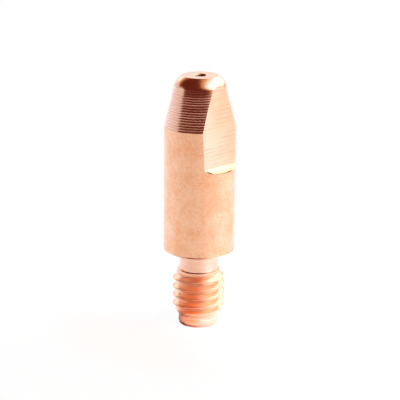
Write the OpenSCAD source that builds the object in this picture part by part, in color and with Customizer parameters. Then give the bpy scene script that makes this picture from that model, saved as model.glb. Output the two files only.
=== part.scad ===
// Contact tip for a wire-feed welding torch, standing on the end of its threaded shank.
// One piece of copper bar: turned nose, body, relief neck and shank, two milled wrench
// flats and a drilled wire bore. Millimetres, +Z along the axis towards the nose.

/* [Body] */
// Overall length, from the shank's end to the face of the nose
tip_len = 28.9; // [26:0.1:36]
// Diameter of the body, which is the bar's own size
body_d = 8; // [7.4:0.1:9]
// Edge break under the shoulder
shoulder_break = 0.2; // [0.05:0.05:0.4]

/* [Nose] */
// Length of the tapered and rounded nose
nose_len = 5.7; // [4.6:0.1:7]
// Angle of the taper to the axis
nose_angle = 13; // [11:0.5:15]
// Diameter of the flat face at the front
face_d = 4.1; // [3.4:0.1:4.6]
// Length of the rounded end between the taper and the face
round_len = 1.15; // [0.7:0.05:1.6]
// Radius of the rounded end
round_r = 2; // [1.6:0.1:3]

/* [Wrench flats] */
// Size across the flats at their lower end
flat_af = 6.3; // [5.6:0.1:6.8]
// Height of the flats' lower end above the shoulder
flat_from = 9.7; // [6:0.1:12]
// Lean of each flat towards the axis as it rises, in degrees
flat_lean = 2; // [0:0.25:3]
// Height of the hollow in which a flat runs out
runout_h = 0.65; // [0.4:0.05:0.8]
// Radius of that hollow, left by the corner of the cutter
runout_r = 1.05; // [0.9:0.05:1.6]

/* [Shank] */
// Length of the shank below the shoulder
shank_len = 8.75; // [7.5:0.05:11]
// Outer diameter of the thread
thread_d = 5.9; // [5.4:0.05:6.8]
// Length of the thread with its lead and run-out
thread_len = 5.3; // [3:0.1:5.8]
// Angle of the lead and the run-out to the axis
thread_lead_angle = 45; // [35:1:60]
// Diameter of the relief neck under the shoulder
neck_d = 4.4; // [4:0.05:5]
// Diameter of the plain pilot below the thread
pilot_d = 4.5; // [4:0.05:5]
// Length of the pilot
pilot_len = 1.1; // [0.6:0.05:1.6]
// Edge break at the shank's end
pilot_break = 0.1; // [0.05:0.05:0.3]

/* [Wire bore] */
// Diameter of the bore that guides the wire
bore_d = 1.2; // [0.8:0.05:1.8]
// Width of the bevel round the bore's mouth at the nose
nose_bevel = 0.12; // [0.05:0.01:0.4]
// Diameter of the wire's lead-in at the shank's end
lead_in_d = 2.8; // [2.2:0.1:3.2]
// Angle of the lead-in and of the bevel to the axis
sink_angle = 30; // [25:1:45]

/* [Hidden] */
$fn = 96;

body_r = body_d / 2;
thread_r = thread_d / 2;
neck_r = neck_d / 2;
pilot_r = pilot_d / 2;
bore_r = bore_d / 2;
face_r = face_d / 2;

thread_top = pilot_len + thread_len;
taper_z = tip_len - nose_len;
flat_z = shank_len + flat_from;

// Height along the axis of a cone between two radii
function cone_len(r_low, r_high, angle) = abs(r_high - r_low) / tan(angle);

// Taper and rounded end of the nose, in the plane of radius and height
taper_foot = [body_r, taper_z];
taper_tip = [body_r - nose_len * tan(nose_angle), tip_len];
round_foot = [body_r - (nose_len - round_len) * tan(nose_angle), tip_len - round_len];
face_rim = [face_r, tip_len];

// Where the ledge beside a flat leaves its hollow, in degrees from the hollow's lowest point
ledge_angle = 20;

// Reach of a cutter past the outside of the piece
overshoot = body_r;

// Centre of the arc of radius r from a to b that bulges to the right of that way
function arc_centre(a, b, r) =
    let (chord = b - a, left = [-chord[1], chord[0]] / norm(chord))
    (a + b) / 2 + sqrt(r * r - chord * chord / 4) * left;

// What lies outside the arc from a to b, between the two radii to its ends
module outside_arc(a, b, r) {
    centre = arc_centre(a, b, r);
    to_a = (a - centre) / r;
    to_b = (b - centre) / r;
    difference() {
        polygon([
            centre,
            centre + overshoot * to_a,
            centre + overshoot * (to_a + to_b),
            centre + overshoot * to_b
        ]);
        translate(centre) circle(r = r);
    }
}

// Half section of the turned outside, with the nose's corner still sharp
module blank_section() {
    polygon([
        [0, 0],
        [pilot_r - pilot_break, 0],
        [pilot_r, pilot_break],
        [pilot_r, pilot_len],
        [thread_r, pilot_len + cone_len(pilot_r, thread_r, thread_lead_angle)],
        [thread_r, thread_top - cone_len(neck_r, thread_r, thread_lead_angle)],
        [neck_r, thread_top],
        [neck_r, shank_len],
        [body_r - shoulder_break, shank_len],
        [body_r, shank_len + shoulder_break],
        taper_foot,
        taper_tip,
        [0, tip_len]
    ]);
}

module turned_blank() {
    rotate_extrude()
        difference() {
            blank_section();
            outside_arc(round_foot, face_rim, round_r);
        }
}

// Space that the cutter takes away beside one flat, seen along the flat. The hollow at its
// foot is part of a circle that crosses the flat, and a ledge runs on from the hollow.
module flat_section() {
    rise = tip_len - flat_z + overshoot;
    far = body_r + overshoot;
    lean = [-tan(flat_lean), 1];
    foot = [flat_af / 2, flat_z];
    half_chord = sqrt(runout_r * runout_r - pow(runout_r - runout_h, 2));
    centre = foot + [half_chord - runout_h * tan(flat_lean), runout_r];
    ledge = centre - [0, runout_r * cos(ledge_angle)];
    intersection() {
        polygon([
            foot - runout_r * lean,
            foot + rise * lean,
            [far, flat_z + rise],
            [far, flat_z - runout_r]
        ]);
        union() {
            translate(centre) circle(r = runout_r);
            polygon([
                centre,
                ledge,
                [far + overshoot, ledge[1]],
                [far + overshoot, flat_z + rise + overshoot],
                [0, flat_z + rise + overshoot],
                [0, centre[1]]
            ]);
        }
    }
}

module flat_cutter() {
    rotate([90, 0, 0])
        linear_extrude(height = body_d + 2 * overshoot, center = true)
            flat_section();
}

module wire_bore() {
    translate([0, 0, -overshoot]) cylinder(h = tip_len + 2 * overshoot, r = bore_r);
    cylinder(h = cone_len(bore_r, lead_in_d / 2, sink_angle), r1 = lead_in_d / 2, r2 = bore_r);
    mouth_r = bore_r + nose_bevel;
    bevel_len = cone_len(bore_r, mouth_r, sink_angle);
    translate([0, 0, tip_len - bevel_len]) cylinder(h = bevel_len, r1 = bore_r, r2 = mouth_r);
}

module contact_tip() {
    color("#d9976a")
        difference() {
            turned_blank();
            for (side = [0, 180]) rotate([0, 0, side]) flat_cutter();
            wire_bore();
        }
}

contact_tip();
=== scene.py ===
import math
import random

import bpy
from mathutils import Matrix, Vector


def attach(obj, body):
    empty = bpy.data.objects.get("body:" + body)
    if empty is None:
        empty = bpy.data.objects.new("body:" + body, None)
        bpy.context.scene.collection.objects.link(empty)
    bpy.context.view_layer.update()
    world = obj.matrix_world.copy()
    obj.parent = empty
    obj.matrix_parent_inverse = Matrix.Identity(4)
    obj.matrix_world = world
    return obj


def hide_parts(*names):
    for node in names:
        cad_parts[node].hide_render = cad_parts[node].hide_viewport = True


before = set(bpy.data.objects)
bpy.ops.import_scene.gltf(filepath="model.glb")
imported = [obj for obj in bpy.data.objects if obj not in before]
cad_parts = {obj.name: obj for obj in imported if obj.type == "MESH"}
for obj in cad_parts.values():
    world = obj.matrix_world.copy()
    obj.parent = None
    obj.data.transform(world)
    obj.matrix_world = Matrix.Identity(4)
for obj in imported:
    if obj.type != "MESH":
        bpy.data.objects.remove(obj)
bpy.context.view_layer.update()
print("frame loaded:", sorted(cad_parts))

bpy.context.scene.view_settings.view_transform = "Standard"

# the camera stands as in the photograph, lengths in metres and angles in degrees
viewpoint = {
    "target": 0.014546,      # height on the axis that it looks at
    "distance": 0.173684,
    "azimuth": 43.5,
    "elevation": 16.439,
    "roll": 0.566,
    "sideStep": 0.000079,    # puts the tip a little left of the middle
    "lens": 138.62,          # in millimetres, as the sensor is
    "sensor": 36,
    "nearest": 0.01,         # nothing closer to the lens is drawn
}


def setCamera(look):
    turn = math.radians(look["azimuth"])
    lift = math.radians(look["elevation"])
    level = math.cos(lift)
    away = Vector((math.sin(turn) * level, -math.cos(turn) * level, math.sin(lift)))
    right = Vector((math.cos(turn), math.sin(turn), 0))
    data = bpy.data.cameras.new("photoCamera")
    data.lens = look["lens"]
    data.sensor_width = look["sensor"]
    data.clip_start = look["nearest"]
    camera = bpy.data.objects.new("photoCamera", data)
    bpy.context.scene.collection.objects.link(camera)
    place = Vector((0, 0, look["target"])) + away * look["distance"] + right * look["sideStep"]
    aim = Matrix.Rotation(turn, 4, "Z") @ Matrix.Rotation(math.pi / 2 - lift, 4, "X")
    roll = Matrix.Rotation(math.radians(look["roll"]), 4, "Z")
    camera.matrix_world = Matrix.Translation(place) @ aim @ roll
    bpy.context.scene.camera = camera


setCamera(viewpoint)
print("camera set")


# a shader socket that takes part in sums
class Wire:
    def __init__(self, tree, socket=None):
        self.tree = tree
        self.socket = socket

    def node(self, kind, settings=None, inputs=None, out=0):
        made = self.tree.nodes.new(kind)
        for key, value in (settings or {}).items():
            setattr(made, key, value)
        for key, value in (inputs or {}).items():
            if isinstance(value, Wire):
                self.tree.links.new(value.socket, made.inputs[key])
            else:
                made.inputs[key].default_value = value
        return Wire(self.tree, made.outputs[out])

    def maths(self, operation, first, second=0.0):
        return self.node("ShaderNodeMath", {"operation": operation}, {0: first, 1: second})

    def __add__(self, other):
        return self.maths("ADD", self, other)

    def __radd__(self, other):
        return self.maths("ADD", other, self)

    def __sub__(self, other):
        return self.maths("SUBTRACT", self, other)

    def __rsub__(self, other):
        return self.maths("SUBTRACT", other, self)

    def __mul__(self, other):
        return self.maths("MULTIPLY", self, other)

    def __rmul__(self, other):
        return self.maths("MULTIPLY", other, self)

    def step(self, low, high, start=0.0, end=1.0):
        # smooth step from start to end while this goes from low to high
        return self.node(
            "ShaderNodeMapRange", {"interpolation_type": "SMOOTHSTEP"},
            {"Value": self, "From Min": low, "From Max": high, "To Min": start, "To Max": end})

    def blend(self, first, second):
        # colour that goes from first to second while this goes from 0 to 1
        return self.node(
            "ShaderNodeMix", {"data_type": "RGBA"},
            {"Factor": self, 6: first, 7: second}, out=2)

    def parts(self):
        # the three numbers of a vector
        split = self.node("ShaderNodeSeparateXYZ", None, {0: self}).socket.node
        return [Wire(self.tree, socket) for socket in split.outputs]


def newFinish(name):
    # bare metal, with patterns in millimetres of the object's own space
    finish = bpy.data.materials.new(name)
    finish.use_nodes = True
    tree = finish.node_tree
    shader = tree.nodes["Principled BSDF"]
    shader.inputs["Metallic"].default_value = 1.0
    spot = Wire(tree).node("ShaderNodeTexCoord", out="Object")
    spot = spot.node("ShaderNodeVectorMath", {"operation": "SCALE"}, {0: spot, "Scale": 1000.0})
    return finish, tree, shader, spot


def wear(tree, shader, colour, roughness, height, lift):
    tree.links.new(colour.socket, shader.inputs["Base Color"])
    tree.links.new(roughness.socket, shader.inputs["Roughness"])
    bump = height.node(
        "ShaderNodeBump", None,
        {"Strength": 0.5, "Distance": lift, "Height": height})
    tree.links.new(bump.socket, shader.inputs["Normal"])


def noise(spot, scale, detail=2.0, rough=0.5):
    return spot.node(
        "ShaderNodeTexNoise", None,
        {"Vector": spot, "Scale": scale, "Detail": detail, "Roughness": rough})


def stretch(spot, factors):
    return spot.node("ShaderNodeVectorMath", {"operation": "MULTIPLY"}, {0: spot, 1: factors})


def streaks(spot, factors, detail=2.0, rough=0.5):
    return noise(stretch(spot, factors), 1.0, detail, rough)


# in every finish lift is the height of its marks in metres, and uneven is roughness added by them
# drawn bar: satin, mottled, a little browner than fresh cuts
drawn = {
    "pale": (0.97, 0.61, 0.41, 1), "deep": (0.91, 0.46, 0.255, 1), "spot": (0.86, 0.38, 0.18, 1),
    "patches": 0.5, "blotches": 2.2, "grain": 6.5, "shares": (0.4, 0.25, 0.35), "contrast": (0.39, 0.61),
    "specks": 3.1, "speckEdge": (0.66, 0.76), "speckShare": 0.6,
    "roughness": 0.22, "uneven": 0.14, "lift": 0.000005,
}


def drawnFinish(look):
    finish, tree, shader, spot = newFinish("drawnCopper")
    patch = noise(spot, look["patches"], 3.0)
    blotch = noise(spot, look["blotches"])
    grain = noise(spot, look["grain"], 3.0, 0.6)
    patchShare, blotchShare, grainShare = look["shares"]
    mottle = patch * patchShare + blotch * blotchShare + grain * grainShare
    colour = mottle.step(*look["contrast"]).blend(look["deep"], look["pale"])
    specks = noise(spot, look["specks"], 1.0).step(*look["speckEdge"])
    colour = (specks * look["speckShare"]).blend(colour, look["spot"])
    wear(tree, shader, colour, look["roughness"] + look["uneven"] * grain, grain, look["lift"])
    return finish


# turned: nose, neck, shoulder, face and pilot, cleaner and smoother
turned = {
    "pale": (0.96, 0.63, 0.49, 1), "deep": (0.93, 0.55, 0.4, 1), "contrast": (0.35, 0.65),
    "rings": (0.3, 0.3, 14.0), "chatter": (1.6, 1.6, 3.0), "chatterShare": 1.2,
    "roughness": 0.15, "uneven": 0.1, "lift": 0.000008,
}


def turnedFinish(look):
    finish, tree, shader, spot = newFinish("turnedCopper")
    rings = streaks(spot, look["rings"])
    colour = rings.step(*look["contrast"]).blend(look["deep"], look["pale"])
    height = rings + streaks(spot, look["chatter"]) * look["chatterShare"]
    wear(tree, shader, colour, look["roughness"] + rings * look["uneven"], height, look["lift"])
    return finish


# milled flats: creamy, with a painted shade that makes them deeper to one side and upwards, and the
# cutter's broken lines across
milled = {
    "pale": (0.97, 0.645, 0.47, 1), "deep": (0.95, 0.53, 0.335, 1), "line": (0.62, 0.25, 0.11, 1),
    "clouds": 0.45, "fine": (0.4, 0.25, 9.0), "acrossSpan": (-2.6, 2.6), "upSpan": (18.5, 27.0),
    "shares": (0.35, 0.2, 0.25, 0.2), "contrast": (0.34, 0.66),
    "passes": 0.7, "passStretch": (0.15, 0.15, 1.0), "passBend": 2.5, "lineEdge": (0.95, 0.998),
    "gaps": (0.3, 0.3, 1.2), "gapEdge": (0.4, 0.62), "lineShare": 0.8,
    "roughness": 0.24, "uneven": 0.12, "fineShare": 0.6, "lift": 0.000008,
}


def milledFinish(look):
    finish, tree, shader, spot = newFinish("milledCopper")
    cloud = noise(spot, look["clouds"])
    fine = streaks(spot, look["fine"], 3.0, 0.6)
    _, y, z = spot.parts()
    # painted shade: the flat deeper in colour towards +y and upwards
    across = y.step(*look["acrossSpan"], 1.0, 0.0)
    low = z.step(*look["upSpan"], 1.0, 0.0)
    cloudShare, fineShare, acrossShare, lowShare = look["shares"]
    shade = cloud * cloudShare + fine * fineShare + across * acrossShare + low * lowShare
    colour = shade.step(*look["contrast"]).blend(look["deep"], look["pale"])
    passes = spot.node(
        "ShaderNodeTexWave", {"bands_direction": "Z"},
        {"Vector": stretch(spot, look["passStretch"]), "Scale": look["passes"],
         "Distortion": look["passBend"], "Detail": 1.0})
    lines = passes.step(*look["lineEdge"]) * streaks(spot, look["gaps"]).step(*look["gapEdge"])
    colour = (lines * look["lineShare"]).blend(colour, look["line"])
    height = fine * look["fineShare"] - lines
    wear(tree, shader, colour, look["roughness"] + fine * look["uneven"], height, look["lift"])
    return finish


# cut thread, with the fine level marks of the cutter's drag
threaded = {
    "pale": (0.97, 0.62, 0.45, 1), "deep": (0.94, 0.525, 0.345, 1), "contrast": (0.35, 0.65),
    "drag": (0.8, 0.8, 10.0), "roughness": 0.24, "uneven": 0.12, "lift": 0.000006,
}


def threadFinish(look):
    finish, tree, shader, spot = newFinish("cutThread")
    drag = streaks(spot, look["drag"], 3.0, 0.6)
    colour = drag.step(*look["contrast"]).blend(look["deep"], look["pale"])
    wear(tree, shader, colour, look["roughness"] + drag * look["uneven"], drag, look["lift"])
    return finish


# inside of the drilled bore, dull, with its dark brown painted for the shade down the hole
drilled = {
    "pale": (0.4, 0.15, 0.08, 1), "deep": (0.2, 0.06, 0.03, 1), "contrast": (0.35, 0.65),
    "scores": (2.0, 2.0, 8.0), "roughness": 0.45, "uneven": 0.15, "lift": 0.00001,
}


def boreFinish(look):
    finish, tree, shader, spot = newFinish("drilledBore")
    scores = streaks(spot, look["scores"])
    colour = scores.step(*look["contrast"]).blend(look["deep"], look["pale"])
    wear(tree, shader, colour, look["roughness"] + scores * look["uneven"], scores, look["lift"])
    return finish


# burr that the milling cutter left; its very dark colour is painted shade for the burr's own shadow
shadedBurr = {
    "pale": (0.42, 0.2, 0.09, 1), "deep": (0.12, 0.05, 0.022, 1), "contrast": (0.4, 0.65),
    "crumbs": 5.0, "roughness": 0.5, "uneven": 0.2, "lift": 0.00002,
}


def shadedBurrFinish(look):
    finish, tree, shader, spot = newFinish("burr")
    crumbs = noise(spot, look["crumbs"], 3.0)
    colour = crumbs.step(*look["contrast"]).blend(look["deep"], look["pale"])
    wear(tree, shader, colour, look["roughness"] + crumbs * look["uneven"], crumbs, look["lift"])
    return finish


finishes = {
    "drawn": drawnFinish(drawn),
    "turned": turnedFinish(turned),
    "milled": milledFinish(milled),
    "thread": threadFinish(threaded),
    "bore": boreFinish(drilled),
    "burr": shadedBurrFinish(shadedBurr),
}
print("finishes made:", len(finishes))


# the tip is modelled in millimetres and scaled to metres when it is whole
# from the wire's lead-in, up the outside to the nose and back down the bore
blank = {
    "steps": 192,
    "leadInRadius": 1.4, "leadInHeight": 1.386, "boreRadius": 0.6,
    "pilotRadius": 2.25, "pilotTop": 1.1, "pilotBreak": 0.1, "breakHeight": 0.3,
    "markHeight": 0.87, "markHalf": 0.14, "markDepth": 0.02,    # tool mark round the pilot
    "threadRadius": 2.95, "threadFrom": 2.15, "threadTo": 5.65,
    "landRadius": 2.42, "landFrom": 6.18, "landTo": 6.5,    # small ledge above the run-out
    "neckRadius": 2.2, "neckFrom": 6.5, "shoulder": 8.75, "shoulderBreak": 0.2,
    "bodyRadius": 4.0, "taperFrom": 23.2,
    "taperTop": (2.95, 27.75), "faceRim": (2.05, 28.9), "roundRadius": 2.0, "roundSteps": 18,
    "mouthRadius": 0.77, "throatRadius": 0.66, "throatTop": 28.79, "throatFrom": 28.6,
    "ridges": 17, "ridgeDepth": 0.0122, "ridgeSteps": 8, "ridgeShake": 0.08, "ridgeFade": 5,
    "seed": 5,
}
weldDistance = 0.0001


def arcPoints(start, end, radius, count):
    # points after start, up to end, on the arc that bulges to the right of the way
    a = Vector(start)
    b = Vector(end)
    chord = b - a
    left = Vector((-chord.y, chord.x)).normalized()
    centre = (a + b) / 2 + left * math.sqrt(radius ** 2 - chord.length_squared / 4)
    first = math.atan2(a.y - centre.y, a.x - centre.x)
    last = math.atan2(b.y - centre.y, b.x - centre.x)
    points = []
    for i in range(1, count + 1):
        angle = first + (last - first) * i / count
        points.append((centre.x + radius * math.cos(angle), centre.y + radius * math.sin(angle)))
    return points


def ridgePoints(start, end, look):
    # turning marks: hollows between rings that stand on the taper itself
    dice = random.Random(look["seed"])
    a = Vector(start)
    b = Vector(end)
    inward = Vector((a.y - b.y, b.x - a.x)).normalized()
    shares = [1 + dice.uniform(-1, 1) * look["ridgeShake"] for _ in range(look["ridges"])]
    total = sum(shares)
    points = []
    done = 0.0
    for i, share in enumerate(shares):
        fade = min(1, (len(shares) - i) / look["ridgeFade"])    # shallower near the rounded end
        depth = look["ridgeDepth"] * fade * (1 + dice.uniform(-2, 2) * look["ridgeShake"])
        for k in range(1, look["ridgeSteps"] + 1):
            along = k / look["ridgeSteps"]
            dip = depth * (1 - (2 * along - 1) ** 2)
            spot = a.lerp(b, (done + along * share) / total) + inward * dip
            points.append((spot.x, spot.y))
        done += share
    return points


def inSpace(point):
    # a point of radius and height lies in the XZ plane
    if len(point) == 2:
        return Vector((point[0], 0, point[1]))
    return Vector(point)


def drawLine(name, points):
    # a plane merged to one corner, which is then extruded from point to point; stays in edit mode
    bpy.ops.object.select_all(action="DESELECT")
    bpy.ops.mesh.primitive_plane_add(size=1, location=(0, 0, 0))
    piece = bpy.context.object
    piece.name = name
    bpy.ops.object.mode_set(mode="EDIT")
    bpy.ops.mesh.select_all(action="SELECT")
    bpy.ops.mesh.merge(type="COLLAPSE")
    places = [inSpace(point) for point in points]
    bpy.ops.transform.translate(value=places[0])
    for a, b in zip(places, places[1:]):
        bpy.ops.mesh.extrude_vertices_move(TRANSFORM_OT_translate={"value": b - a})
    bpy.ops.mesh.select_all(action="SELECT")
    return piece


def closeUp():
    # welds seams, turns faces outwards and leaves edit mode
    bpy.ops.mesh.select_all(action="SELECT")
    bpy.ops.mesh.remove_doubles(threshold=weldDistance)
    bpy.ops.mesh.select_all(action="SELECT")
    bpy.ops.mesh.normals_make_consistent(inside=False)
    bpy.ops.object.mode_set(mode="OBJECT")


def pickOut(piece):
    bpy.ops.object.select_all(action="DESELECT")
    piece.select_set(True)
    bpy.context.view_layer.objects.active = piece


def turnBlank(look):
    body = look["bodyRadius"]
    neck = look["neckRadius"]
    pilot = look["pilotRadius"]
    taperFoot = (body, look["taperFrom"])
    outline = [
        (look["leadInRadius"], 0),
        (pilot - look["pilotBreak"], 0),
        (pilot, look["breakHeight"]),
        (pilot, look["markHeight"] - look["markHalf"]),
        (pilot - look["markDepth"], look["markHeight"]),
        (pilot, look["markHeight"] + look["markHalf"]),
        (pilot, look["pilotTop"]),
        (look["threadRadius"], look["threadFrom"]),
        (look["threadRadius"], look["threadTo"]),
        (look["landRadius"], look["landFrom"]),
        (look["landRadius"], look["landTo"]),
        (neck, look["neckFrom"]),
        (neck, look["shoulder"]),
        (body - look["shoulderBreak"], look["shoulder"]),
        (body, look["shoulder"] + look["shoulderBreak"]),
        taperFoot,
    ]
    outline += ridgePoints(taperFoot, look["taperTop"], look)
    outline += arcPoints(look["taperTop"], look["faceRim"], look["roundRadius"], look["roundSteps"])
    outline += [
        (look["mouthRadius"], look["faceRim"][1]),
        (look["throatRadius"], look["throatTop"]),
        (look["boreRadius"], look["throatFrom"]),
        (look["boreRadius"], look["leadInHeight"]),
        (look["leadInRadius"], 0),
    ]
    piece = drawLine("contactTip", outline)
    bpy.ops.mesh.spin(steps=look["steps"], angle=2 * math.pi, center=(0, 0, 0), axis=(0, 0, 1))
    closeUp()
    return piece


def wearByHeight(piece, look):
    names = ("drawn", "turned", "thread", "bore")
    for name in names:
        piece.data.materials.append(finishes[name])
    edge = 0.01
    for face in piece.data.polygons:
        height = face.center.z
        wide = math.hypot(face.center.x, face.center.y)
        name = "turned"
        if look["shoulder"] + look["shoulderBreak"] < height < look["taperFrom"] - edge:
            name = "drawn"
        elif look["pilotTop"] < height < look["neckFrom"] - edge:
            name = "thread"
        if wide < look["throatRadius"]:
            name = "bore"
        face.material_index = names.index(name)


tip = turnBlank(blank)
wearByHeight(tip, blank)
print("blank turned:", len(tip.data.polygons), "faces")


# right-hand thread, cut as a groove that runs past the lead and the run-out
groove = {
    "pitch": 1.0, "outerRadius": 2.95, "flank": 30.0, "crestShare": 0.125,
    "startTurn": 300, "startHeight": 1.1,    # at this turn it is level with the pilot's end
    "rootRadius": 0.144, "rootSteps": 5, "crestSteps": 5, "crestStop": 12.0,
    "past": 0.03, "pastFlare": 0.3,    # reach of the cutter past the crest, and how it widens there
    "turns": 7, "steps": 120,
}


def threadCutter(look):
    # half a groove from its round root up the flank to the round crest, as radius and half width
    pitch = look["pitch"]
    slope = math.tan(math.radians(look["flank"]))
    turn = math.radians(90 - look["flank"])
    top = look["outerRadius"]
    mouth = pitch * (1 - look["crestShare"]) / 2
    bottom = look["rootRadius"]
    bend = (1 - math.cos(turn)) * bottom
    root = top - bend - (mouth - bottom * math.sin(turn)) / slope
    side = []
    for i in range(look["rootSteps"] + 1):
        angle = turn * i / look["rootSteps"]
        side.append((root + bottom * (1 - math.cos(angle)), bottom * math.sin(angle)))
    crest = pitch * look["crestShare"] / 2 / (math.sin(turn) - (1 - math.cos(turn)) * slope)
    stop = math.radians(look["crestStop"])
    for i in range(look["crestSteps"] + 1):
        angle = turn + (stop - turn) * i / look["crestSteps"]
        side.append((top - crest * (1 - math.cos(angle)), pitch / 2 - crest * math.sin(angle)))
    side.append((top + look["past"], side[-1][1] + look["past"] * look["pastFlare"]))
    middle = look["startHeight"] - pitch * look["startTurn"] / 360
    outline = [(radius, middle - half) for radius, half in reversed(side[1:])]
    outline += [(radius, middle + half) for radius, half in side]
    piece = drawLine("threadCutter", outline + outline[:1])
    bpy.ops.mesh.remove_doubles(threshold=weldDistance)
    bpy.ops.object.mode_set(mode="OBJECT")
    screw = piece.modifiers.new("helix", "SCREW")
    screw.axis = "Z"
    screw.angle = 2 * math.pi
    screw.screw_offset = pitch
    screw.iterations = look["turns"]
    screw.steps = look["steps"]
    screw.render_steps = look["steps"]
    bpy.ops.object.modifier_apply(modifier="helix")
    bpy.ops.object.mode_set(mode="EDIT")
    bpy.ops.mesh.select_all(action="DESELECT")
    bpy.ops.mesh.select_non_manifold()
    bpy.ops.mesh.fill_holes(sides=0)
    closeUp()
    piece.data.materials.append(finishes["thread"])
    return piece


def cutAway(piece, cutter):
    # the cut faces keep the cutter's finish
    pickOut(piece)
    cut = piece.modifiers.new("cut", "BOOLEAN")
    cut.operation = "DIFFERENCE"
    cut.solver = "EXACT"
    cut.material_mode = "TRANSFER"
    cut.object = cutter
    bpy.ops.object.modifier_apply(modifier="cut")
    bpy.data.objects.remove(cutter)


cutAway(tip, threadCutter(groove))
print("thread cut:", len(tip.data.polygons), "faces")


# two flats that run out in a hollow
flats = {
    "turns": (0, 180),
    "half": 3.15, "from": 18.45, "lean": 2.0, "top": 33.0, "reach": 7.0, "width": 6.0,
    "hollowRadius": 1.05, "hollowHeight": 0.65, "hollowSteps": 14,
}


def hollowPlace(look):
    # where the hollow leaves the flat, and the middle of its round
    fall = math.tan(math.radians(look["lean"]))
    radius = look["hollowRadius"]
    rise = look["hollowHeight"]
    edge = (look["half"] - rise * fall, look["from"] + rise)
    halfChord = math.sqrt(radius ** 2 - (radius - rise) ** 2)
    centre = (edge[0] + halfChord, look["from"] + radius)
    return edge, centre


def turnRound(piece, turn):
    piece.rotation_euler = (0, 0, math.radians(turn))
    bpy.ops.object.transform_apply(location=False, rotation=True, scale=False)


def flatCutter(look, turn):
    fall = math.tan(math.radians(look["lean"]))
    edge, centre = hollowPlace(look)
    top = (look["half"] - (look["top"] - look["from"]) * fall, look["top"])
    lowest = (centre[0], look["from"])
    outline = [top, edge]
    outline += arcPoints(edge, lowest, look["hollowRadius"], look["hollowSteps"])
    outline += [(look["reach"], look["from"]), (look["reach"], look["top"])]
    piece = drawLine("flatCutter", outline)
    bpy.ops.mesh.edge_face_add()
    bpy.ops.transform.translate(value=(0, -look["width"], 0))
    bpy.ops.mesh.extrude_region_move(TRANSFORM_OT_translate={"value": (0, 2 * look["width"], 0)})
    closeUp()
    turnRound(piece, turn)
    piece.data.materials.append(finishes["milled"])
    return piece


for turn in flats["turns"]:
    cutAway(tip, flatCutter(flats, turn))
print("flats cut:", len(tip.data.polygons), "faces")


# thin ragged lip on the lower edge of a hollow
burr = {
    "radius": 3.92, "from": -2.2, "to": 1.3, "steps": 100,
    "thick": 0.025, "sides": 2, "ragged": 0.06, "grain": 0.3,
    "lumps": ((-1.95, 0.28, 1.8), (0.65, 0.45, 1.8)),    # place along the edge, half length, share added
}


def burrLine(look, cut, turn):
    _, centre = hollowPlace(cut)
    points = []
    for i in range(look["steps"] + 1):
        y = look["from"] + (look["to"] - look["from"]) * i / look["steps"]
        x = math.sqrt(look["radius"] ** 2 - y ** 2)
        z = centre[1] - math.sqrt(cut["hollowRadius"] ** 2 - (centre[0] - x) ** 2)
        points.append((x, y, z))
    piece = drawLine("burr", points)
    bpy.ops.object.mode_set(mode="OBJECT")
    bpy.ops.object.convert(target="CURVE")
    piece = bpy.context.object
    piece.data.bevel_depth = look["thick"]
    piece.data.bevel_resolution = look["sides"]
    piece.data.use_fill_caps = True
    for point in piece.data.splines[0].points:
        for place, half, share in look["lumps"]:
            point.radius += share * math.exp(-((point.co.y - place) / half) ** 2)
    bpy.ops.object.convert(target="MESH")
    piece = bpy.context.object
    bpy.ops.object.mode_set(mode="EDIT")
    closeUp()    # the caps are loose until then
    cloud = bpy.data.textures.new("ragged", "CLOUDS")
    cloud.noise_scale = look["grain"]
    rough = piece.modifiers.new("rough", "DISPLACE")
    rough.texture = cloud
    rough.strength = look["ragged"]
    bpy.ops.object.modifier_apply(modifier="rough")
    turnRound(piece, turn)
    piece.data.materials.clear()
    piece.data.materials.append(finishes["burr"])
    return piece


def joinTo(piece, other):
    pickOut(piece)
    other.select_set(True)
    bpy.ops.object.join()


for turn in flats["turns"]:
    joinTo(tip, burrLine(burr, flats, turn))
print("burrs laid")


whole = {"scale": 0.001, "sharpFrom": 12}    # millimetres to metres, and the angle of a sharp edge


def finishTip(piece, look):
    pickOut(piece)
    piece.scale = (look["scale"], look["scale"], look["scale"])
    bpy.ops.object.transform_apply(location=False, rotation=False, scale=True)
    bpy.ops.object.shade_smooth_by_angle(angle=math.radians(look["sharpFrom"]))
    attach(piece, "root")
    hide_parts("contact_tip")


finishTip(tip, whole)
print("tip finished")


# white tent with a dark side, where the camera stands, that goes on up over its left
# rise runs from the camera's horizon over the top to the back, lean from left to right, in degrees
tent = {
    "leftWhite": (0.85, 0.83, 0.87, 1), "rightWhite": (1.2, 1.2, 1.2, 1), "whiteLean": (-70, 70),
    "backWhite": (1.05, 1.05, 1.02, 1), "backRise": (105, 150), "backLean": (-50, -25),
    "windowWhite": (1.75, 1.75, 1.8, 1), "windowLeft": (-44, -36), "windowRight": (-8, -16),
    "windowLow": (126, 134), "windowBack": (164, 156),
    "midColour": (0.78, 0.43, 0.17, 1), "midFrom": (0.0, 0.32),
    "darkColour": (0.125, 0.02, 0.011, 1), "darkFrom": (0.4, 1.0),
    "darkLeft": (-75, -68), "darkLow": (-2, 1),
    "darkRight": (50, 8), "darkRightRise": (15, 45), "darkSoft": 18,
    "fadeLean": 0.2, "fadeFrom": -57, "fade": (116, 158),
    "brownLean": (24, 40), "brownRise": (158, 170), "brownShare": 0.5,
}


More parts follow.
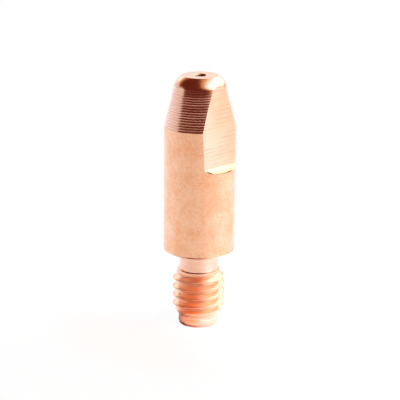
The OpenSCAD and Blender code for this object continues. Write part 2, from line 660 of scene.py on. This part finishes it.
def setWorld(look, azimuth):
    # only the metal and the floor see the tent, the camera sees white
    world = bpy.data.worlds.new("tent")
    bpy.context.scene.world = world
    world.use_nodes = True
    tree = world.node_tree
    ground = tree.nodes["Background"]
    way = Wire(tree).node("ShaderNodeTexCoord", out="Generated")
    facing = way.node(
        "ShaderNodeVectorRotate", {"rotation_type": "Z_AXIS"},
        {"Vector": way, "Angle": math.radians(90 - azimuth)})
    ahead, side, up = facing.parts()
    degrees = 180 / math.pi
    lean = way.maths("ARCSINE", side) * degrees
    rise = way.maths("ARCTAN2", up, ahead) * degrees
    soft = look["darkSoft"]
    rightEdge = rise.step(*look["darkRightRise"], *look["darkRight"])
    fading = rise + (lean - look["fadeFrom"]) * look["fadeLean"]
    dark = lean.step(*look["darkLeft"]) * (lean - rightEdge).step(soft, -soft)
    dark = dark * rise.step(*look["darkLow"]) * fading.step(*look["fade"], 1.0, 0.0)
    colour = lean.step(*look["whiteLean"]).blend(look["leftWhite"], look["rightWhite"])
    back = rise.step(*look["backRise"]) * lean.step(*look["backLean"])
    colour = back.blend(colour, look["backWhite"])
    window = lean.step(*look["windowLeft"]) * lean.step(*look["windowRight"])
    window = window * rise.step(*look["windowLow"]) * rise.step(*look["windowBack"])
    colour = window.blend(colour, look["windowWhite"])
    brown = lean.step(*look["brownLean"]) * rise.step(*look["brownRise"], 0.0, look["brownShare"])
    colour = (brown + dark.step(*look["midFrom"])).blend(colour, look["midColour"])
    colour = dark.step(*look["darkFrom"]).blend(colour, look["darkColour"])
    seen = way.node("ShaderNodeLightPath", out="Is Camera Ray")
    colour = seen.blend(colour, (1, 1, 1, 1))
    tree.links.new(colour.socket, ground.inputs["Color"])


def cameraAxes(azimuth):
    # level directions from the tip towards the camera and to the camera's right
    turn = math.radians(azimuth)
    ahead = Vector((math.sin(turn), -math.cos(turn), 0))
    right = Vector((math.cos(turn), math.sin(turn), 0))
    return ahead, right


def addLamp(data, place, way):
    lamp = bpy.data.objects.new(data.name, data)
    bpy.context.scene.collection.objects.link(lamp)
    lamp.location = place
    lamp.rotation_euler = way.to_track_quat("-Z", "Y").to_euler()
    return lamp


# places of lamps are in metres towards the camera, to its right and up
boxLight = {"place": (-0.1, 0.145, 0.14), "size": (0.49, 0.15), "level": 0.95}


def setBox(look, azimuth):
    # soft box along the camera's right, seen as the white reflection on the nose and in the hollow
    ahead, right = cameraAxes(azimuth)
    forward, aside, height = look["place"]
    arm = right * aside + Vector((0, 0, height))
    data = bpy.data.lights.new("softBox", "AREA")
    data.shape = "RECTANGLE"
    data.size, data.size_y = look["size"]
    data.energy = look["level"] * math.pi * data.size * data.size_y
    addLamp(data, arm + ahead * forward, -arm)


keyLight = {"side": 95, "lift": 50, "spread": 100, "level": 2.5, "colour": (0.96, 1.0, 1.13)}


def setKey(look, azimuth):
    # lights the floor from the right and leaves the tip's shadow on the left
    ahead, right = cameraAxes(azimuth)
    side = math.radians(look["side"])
    lift = math.radians(look["lift"])
    level = right * math.sin(side) + ahead * math.cos(side)
    data = bpy.data.lights.new("key", "SUN")
    data.angle = math.radians(look["spread"])
    data.energy = look["level"]
    data.color = look["colour"]
    arm = level * math.cos(lift) + Vector((0, 0, math.sin(lift)))
    key = addLamp(data, arm, -arm)
    key.visible_glossy = False


spotLights = (
    {"place": (0.06, 0.06, 0.12), "aim": (0.0036, 0.0088, 0), "spread": 4.6, "soft": 0.01, "level": 8.0},
    {"place": (0.02, -0.08, 0.12), "aim": (-0.001, -0.0042, 0), "spread": 3.6, "soft": 0.01, "level": 0.6},
)


def setSpot(look, azimuth):
    # brightens the floor close to one side of the shank
    ahead, right = cameraAxes(azimuth)

    def inRoom(place):
        return ahead * place[0] + right * place[1] + Vector((0, 0, place[2]))

    data = bpy.data.lights.new("spot", "SPOT")
    data.spot_size = math.radians(look["spread"])
    data.spot_blend = 1.0
    data.shadow_soft_size = look["soft"]
    data.energy = look["level"]
    place = inRoom(look["place"])
    spot = addLamp(data, place, inRoom(look["aim"]) - place)
    spot.visible_glossy = False


# the camera sees the floor as white, and these tints show in the metal; the grey, brown and dark red ones
# are painted shade, the orange ones painted light
# side is in degrees from the camera to its right, span in cosines about it, reach in metres
ground = {
    "radius": 3.0, "corners": 96, "glow": 0.95, "white": (0.93, 0.94, 0.98, 1),
    "cool": (0.8, 0.91, 1.0, 1), "coolSide": -140, "coolSpan": (0.0, 0.8),
    "front": (0.7, 0.7, 0.65, 1), "frontSide": -25, "frontSpan": (0.0, 1.05),
    "far": (0.56, 0.42, 0.34, 1), "farReach": (0.1, 0.26),
    "near": (0.56, 0.55, 0.57, 1), "nearReach": (0.0062, 0.0042),
    "warmNear": (0.84, 0.6, 0.5, 1), "thrownCopperLight": (0.87, 0.41, 0.17, 1), "warmFrom": (0.0045, 0.0065),
    "warmSide": -46, "warmSpan": (0.4, 0.9), "warmReach": (0.018, 0.013),
    "foot": (0.42, 0.14, 0.13, 1), "footSide": -55, "footSpan": (0.2, 0.9), "footReach": (0.0026, 0.0023),
}


def setFloor(look, azimuth):
    bpy.ops.object.select_all(action="DESELECT")
    bpy.ops.mesh.primitive_circle_add(
        vertices=look["corners"], radius=look["radius"], fill_type="NGON")
    floor = bpy.context.object
    floor.name = "floor"
    finish = bpy.data.materials.new("whiteFloor")
    finish.use_nodes = True
    tree = finish.node_tree
    tree.nodes.remove(tree.nodes["Principled BSDF"])
    output = tree.nodes["Material Output"]
    start = Wire(tree)
    spot = start.node("ShaderNodeTexCoord", out="Object")
    way = start.node("ShaderNodeVectorMath", {"operation": "NORMALIZE"}, {0: spot})
    reach = start.node("ShaderNodeVectorMath", {"operation": "LENGTH"}, {0: spot}, out="Value")
    ahead, right = cameraAxes(azimuth)

    def towards(side, span):
        turn = math.radians(side)
        aim = ahead * math.cos(turn) + right * math.sin(turn)
        along = way.node(
            "ShaderNodeVectorMath", {"operation": "DOT_PRODUCT"}, {0: way, 1: aim}, out="Value")
        return along.step(*span)

    front = towards(look["frontSide"], look["frontSpan"])
    cool = towards(look["coolSide"], look["coolSpan"])
    colour = cool.blend(look["white"], look["cool"])
    # painted shade: the floor greyer towards the camera, and darker and browner well out that way
    colour = front.blend(colour, look["front"])
    colour = (front * reach.step(*look["farReach"])).blend(colour, look["far"])
    # painted shade: the floor grey all round close to the tip
    colour = reach.step(*look["nearReach"]).blend(colour, look["near"])
    # painted orange light, as the copper would throw it onto the floor, that the thread's left flanks
    # mirror; paler close in
    thrownCopperLight = towards(look["warmSide"], look["warmSpan"]) * reach.step(*look["warmReach"])
    orange = reach.step(*look["warmFrom"]).blend(look["warmNear"], look["thrownCopperLight"])
    colour = thrownCopperLight.blend(colour, orange)
    # painted contact shadow at the pilot's base on the left
    foot = towards(look["footSide"], look["footSpan"]) * reach.step(*look["footReach"])
    colour = foot.blend(colour, look["foot"])
    matt = start.node("ShaderNodeBsdfDiffuse", None, {"Color": colour})
    glow = start.node("ShaderNodeEmission", None, {"Color": (1, 1, 1, 1), "Strength": 1.0})
    seen = start.node("ShaderNodeLightPath", out="Is Camera Ray")
    mixed = start.node("ShaderNodeMixShader", None, {0: seen * look["glow"], 1: matt, 2: glow})
    tree.links.new(mixed.socket, output.inputs["Surface"])
    floor.data.materials.append(finish)


setWorld(tent, viewpoint["azimuth"])
setBox(boxLight, viewpoint["azimuth"])
setKey(keyLight, viewpoint["azimuth"])
for spotLight in spotLights:
    setSpot(spotLight, viewpoint["azimuth"])
setFloor(ground, viewpoint["azimuth"])
print("studio lit")
